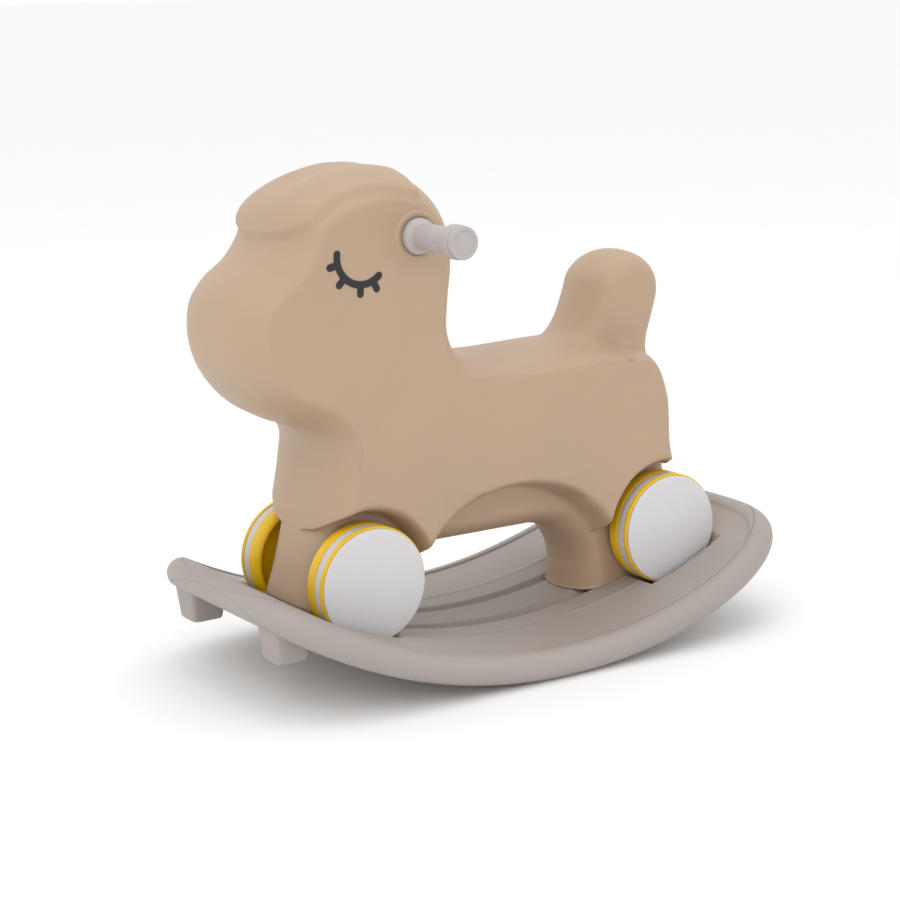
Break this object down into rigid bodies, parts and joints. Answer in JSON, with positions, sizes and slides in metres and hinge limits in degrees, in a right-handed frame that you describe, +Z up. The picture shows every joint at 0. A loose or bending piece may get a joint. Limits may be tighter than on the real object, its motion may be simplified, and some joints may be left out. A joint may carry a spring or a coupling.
{
  "type": "toddler rocking ride-on animal",
  "caption": "Hollow moulded animal with a cross handlebar, closed eyes and a tail, on free wheels, held by knob bolts on a curved double-skin rocker board.",
  "frame": {"origin": "on the floor under the middle of the rocker board, at the lowest point of its curved underside", "axes": "+Z up; the nose points to -Y and the tail to +Y; the animal's left side is +X; the toy is symmetric about the plane x = 0"},
  "size_m": [0.315, 0.57, 0.4601],
  "materials": {
    "body_beige": "satin blow-moulded beige polyethylene",
    "board_grey": "satin blow-moulded warm grey polyethylene",
    "handle_grey": "fine satin light warm grey",
    "eye_black": "matt black printed film",
    "wheel_yellow": "satin yellow",
    "tread_light": "satin light grey",
    "cap_white": "satin off-white",
    "steel": "zinc plated",
    "brass": "turned brass"
  },
  "bodies": {
    "rocker_base": {"rocker_board": "board_grey", "turn_knobs": "handle_grey", "board_washers": "steel", "board_bolts": "steel"},
    "ride_body": {"body_shell": "body_beige", "foot_inserts": "brass", "handle_sleeve": "steel", "axle_sleeves": "steel", "eye_left": "eye_black", "eye_right": "eye_black", "axle_front": "steel", "axle_rear": "steel", "axle_spacers": "handle_grey", "axle_push_nuts": "steel"},
    "handlebar": {"handle_bar": "steel", "grip_left": "handle_grey", "grip_right": "handle_grey", "grip_end_left": "handle_grey", "grip_end_right": "handle_grey"},
    "wheel_front_left": {"wheel_front_left_core": "wheel_yellow", "wheel_front_left_tread": "tread_light", "wheel_front_left_cap": "cap_white", "wheel_front_left_bush": "handle_grey"},
    "wheel_front_right": {"wheel_front_right_core": "wheel_yellow", "wheel_front_right_tread": "tread_light", "wheel_front_right_cap": "cap_white", "wheel_front_right_bush": "handle_grey"},
    "wheel_rear_left": {"wheel_rear_left_core": "wheel_yellow", "wheel_rear_left_tread": "tread_light", "wheel_rear_left_cap": "cap_white", "wheel_rear_left_bush": "handle_grey"},
    "wheel_rear_right": {"wheel_rear_right_core": "wheel_yellow", "wheel_rear_right_tread": "tread_light", "wheel_rear_right_cap": "cap_white", "wheel_rear_right_bush": "handle_grey"}
  },
  "joints": [
    {"name": "lift_off_board", "type": "slide", "parent": "rocker_base", "child": "ride_body", "axis": [0, 0, 1], "range_m": [0, 0.08]},
    {"name": "handlebar_turn", "type": "hinge", "parent": "ride_body", "child": "handlebar", "pos_m": [0, -0.104, 0.402], "axis": [1, 0, 0], "continuous": true},
    {"name": "front_left_spin", "type": "hinge", "parent": "ride_body", "child": "wheel_front_left", "pos_m": [0.061, -0.16, 0.096], "axis": [1, 0, 0], "continuous": true},
    {"name": "front_right_spin", "type": "hinge", "parent": "ride_body", "child": "wheel_front_right", "pos_m": [-0.061, -0.16, 0.096], "axis": [1, 0, 0], "continuous": true},
    {"name": "rear_left_spin", "type": "hinge", "parent": "ride_body", "child": "wheel_rear_left", "pos_m": [0.061, 0.174, 0.096], "axis": [1, 0, 0], "continuous": true},
    {"name": "rear_right_spin", "type": "hinge", "parent": "ride_body", "child": "wheel_rear_right", "pos_m": [-0.061, 0.174, 0.096], "axis": [1, 0, 0], "continuous": true}
  ]
}
